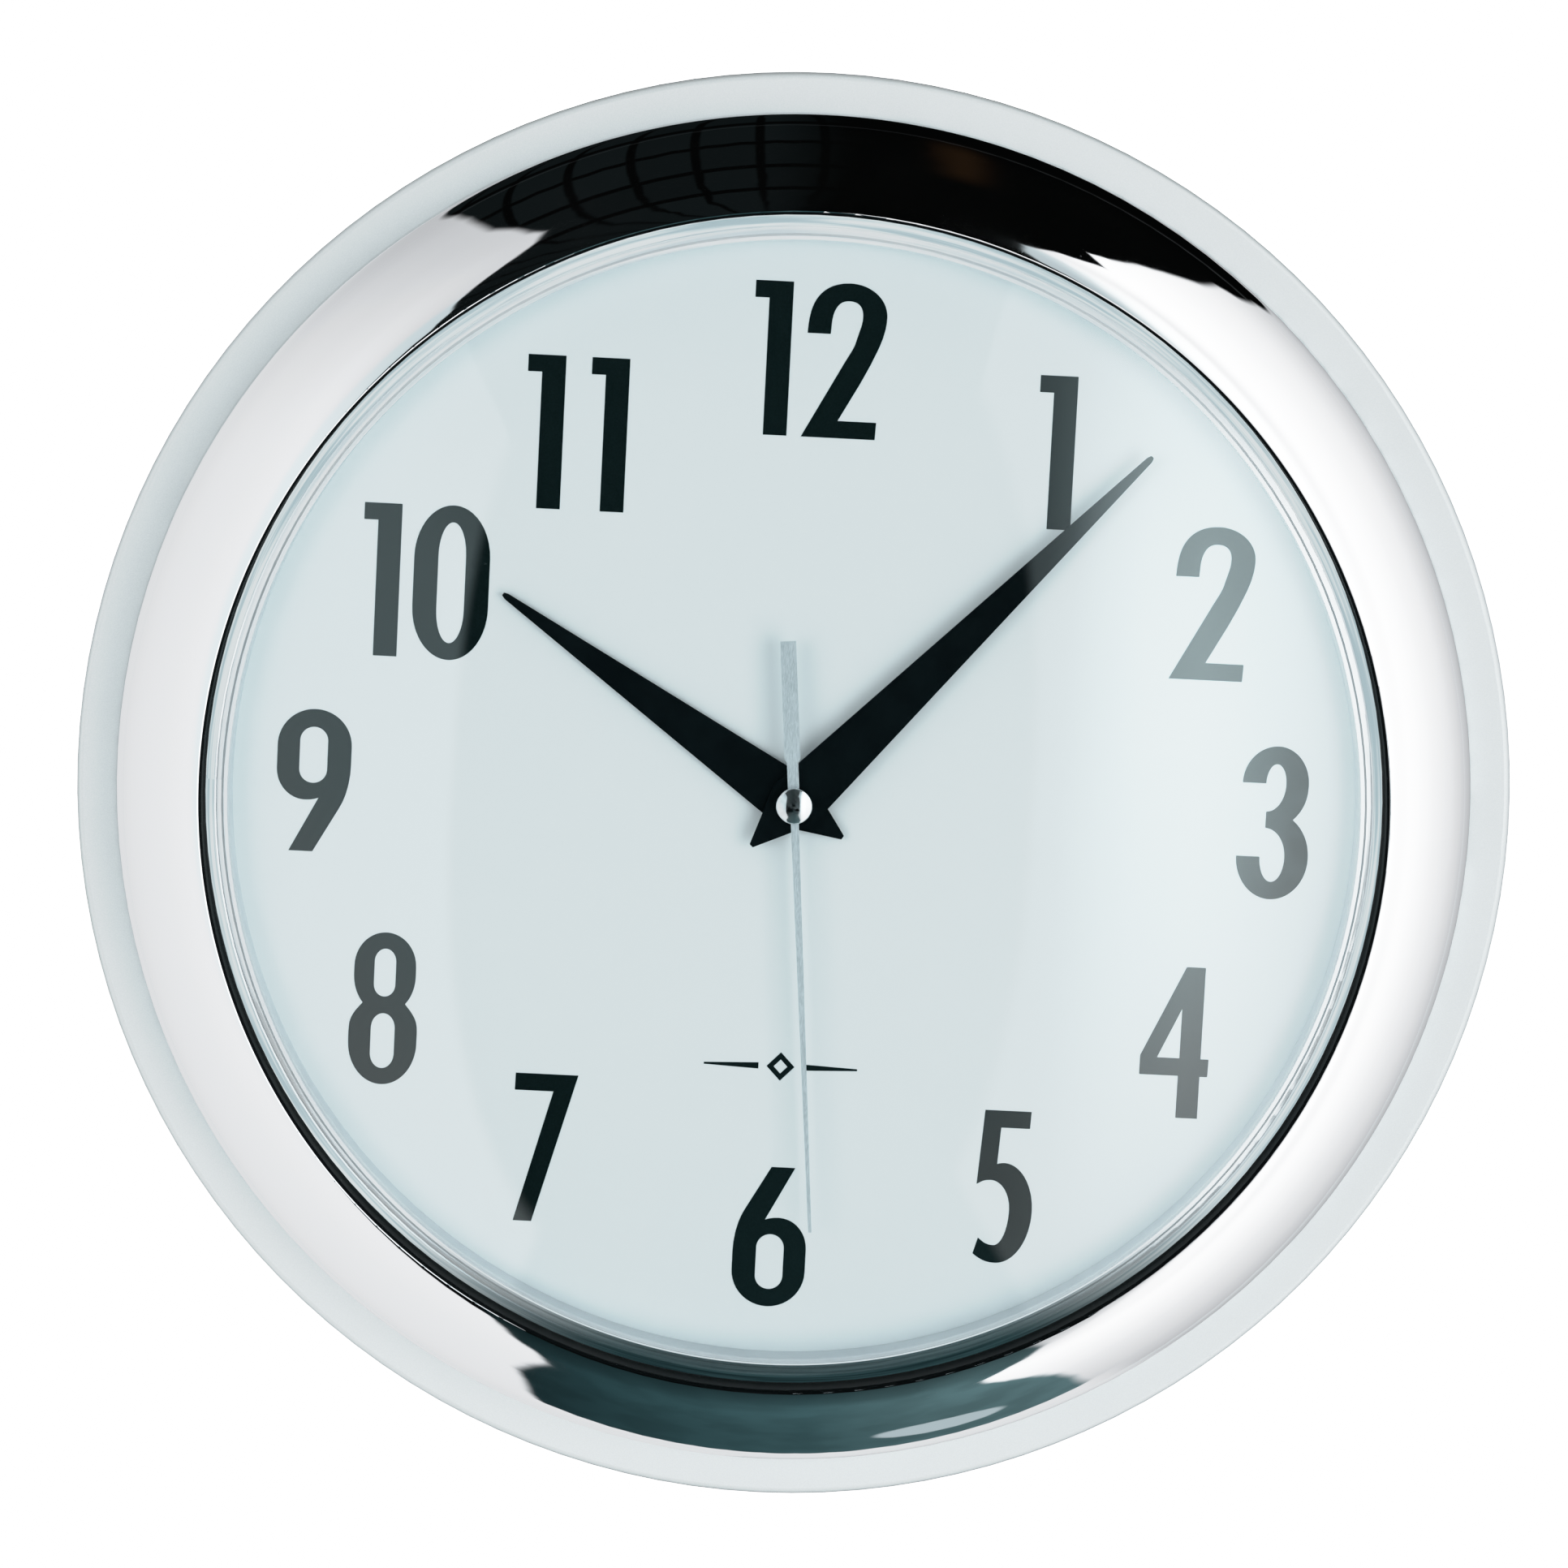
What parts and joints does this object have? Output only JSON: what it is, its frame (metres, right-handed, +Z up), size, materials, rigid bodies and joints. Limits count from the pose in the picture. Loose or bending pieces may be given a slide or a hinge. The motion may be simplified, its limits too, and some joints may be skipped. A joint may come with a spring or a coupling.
{
  "type": "wall clock",
  "caption": "Round battery wall clock with a chromed convex bezel, domed clear lens, white dial with bold arabic numerals, three hands and a geared quartz movement.",
  "frame": {"origin": "on the hand axis, at the wall plane that the rear foot ring rests against", "axes": "+Z up towards 12 o'clock, the dial faces -Y, +X is the viewer's right (3 o'clock)"},
  "size_m": [0.3, 0.0416, 0.3],
  "materials": {
    "chrome_plate": "mirror chrome plate on moulded ABS",
    "shell_plastic": "fine textured moulded black plastic",
    "clear_lens": "clear polished lens",
    "ring_plastic": "satin pale blue-grey plastic",
    "dial_white": "satin white dial paper on sheet",
    "dial_ink": "screen-printed black ink",
    "hand_black": "satin black lacquer on stamped aluminium",
    "second_silver": "lengthwise brushed",
    "cap_chrome": "polished",
    "case_plastic": "fine spark-eroded texture, black",
    "gear_white": "natural acetal",
    "gear_black": "black acetal",
    "knob_plastic": "moulded, knurled edge",
    "magnet": "sintered ferrite",
    "stator_steel": "stamped nickel iron",
    "bobbin_plastic": "natural nylon",
    "copper_wire": "enamelled copper winding",
    "board": "green solder mask",
    "epoxy": "black epoxy blob",
    "crystal_can": "drawn metal can",
    "contact_steel": "nickel-plated spring steel",
    "battery_wrap": "plain printed steel jacket with bare ends",
    "screw_steel": "zinc-plated",
    "hanger_steel": "zinc-plated sheet"
  },
  "bodies": {
    "clock_case": {"bezel": "chrome_plate", "back_shell": "shell_plastic", "lens": "clear_lens", "dial_ring": "ring_plastic", "dial": "dial_white", "dial_numerals": "dial_ink", "dial_ornament": "dial_ink", "movement_front_case": "case_plastic", "movement_rear_cover": "case_plastic", "movement_screws": "screw_steel", "case_screws": "screw_steel", "hanger_plate": "hanger_steel", "hanger_screws": "screw_steel", "stator": "stator_steel", "coil_bobbin": "bobbin_plastic", "coil_winding": "copper_wire", "circuit_board": "board", "driver_chip": "epoxy", "quartz_crystal": "crystal_can", "contact_positive": "contact_steel", "contact_negative": "contact_steel"},
    "hour_hand_body": {"hour_hand": "hand_black", "hour_wheel": "gear_white"},
    "minute_hand_body": {"minute_hand": "hand_black", "cannon_pinion": "gear_white"},
    "setting_shaft": {"minute_wheel": "gear_black", "setting_knob": "knob_plastic"},
    "second_hand_body": {"second_hand": "second_silver", "second_hand_cap": "cap_chrome", "seconds_wheel": "gear_white"},
    "rotor": {"rotor_pinion": "gear_white", "rotor_magnet": "magnet"},
    "intermediate_gear": {"intermediate_wheel": "gear_white"},
    "third_gear": {"third_wheel": "gear_white"},
    "centre_gear": {"centre_wheel": "gear_white"},
    "battery_cell": {"battery": "battery_wrap"}
  },
  "joints": [
    {"name": "minute_hand_turn", "type": "hinge", "parent": "clock_case", "child": "minute_hand_body", "pos_m": [0, -0.015, 0], "axis": [0, 1, 0], "continuous": true},
    {"name": "hour_hand_turn", "type": "hinge", "parent": "clock_case", "child": "hour_hand_body", "pos_m": [0, -0.015, 0], "axis": [0, 1, 0], "continuous": true},
    {"name": "setting_knob_turn", "type": "hinge", "parent": "clock_case", "child": "setting_shaft", "pos_m": [0.01128, -0.015, -0.0041], "axis": [0, 1, 0], "continuous": true},
    {"name": "second_hand_turn", "type": "hinge", "parent": "clock_case", "child": "second_hand_body", "pos_m": [0, -0.015, 0], "axis": [0, 1, 0], "continuous": true},
    {"name": "rotor_turn", "type": "hinge", "parent": "clock_case", "child": "rotor", "pos_m": [0.01495, -0.015, 0.01031], "axis": [0, 1, 0], "continuous": true},
    {"name": "intermediate_gear_turn", "type": "hinge", "parent": "clock_case", "child": "intermediate_gear", "pos_m": [0.00595, -0.015, 0.01031], "axis": [0, 1, 0], "continuous": true},
    {"name": "third_gear_turn", "type": "hinge", "parent": "clock_case", "child": "third_gear", "pos_m": [-0.00865, -0.015, 0.00865], "axis": [0, 1, 0], "continuous": true},
    {"name": "centre_gear_turn", "type": "hinge", "parent": "clock_case", "child": "centre_gear", "pos_m": [0, -0.015, 0], "axis": [0, 1, 0], "continuous": true},
    {"name": "battery_slide", "type": "slide", "parent": "clock_case", "child": "battery_cell", "axis": [0, 1, 0], "range_m": [0, 0.03]}
  ],
  "couplings": [
    {"joint": "hour_hand_turn", "follows": "minute_hand_turn", "ratio": 0.083333},
    {"joint": "setting_knob_turn", "follows": "minute_hand_turn", "ratio": -0.33333},
    {"joint": "rotor_turn", "follows": "second_hand_turn", "ratio": 30},
    {"joint": "intermediate_gear_turn", "follows": "second_hand_turn", "ratio": -6},
    {"joint": "third_gear_turn", "follows": "second_hand_turn", "ratio": -0.13333},
    {"joint": "centre_gear_turn", "follows": "second_hand_turn", "ratio": 0.016667}
  ]
}
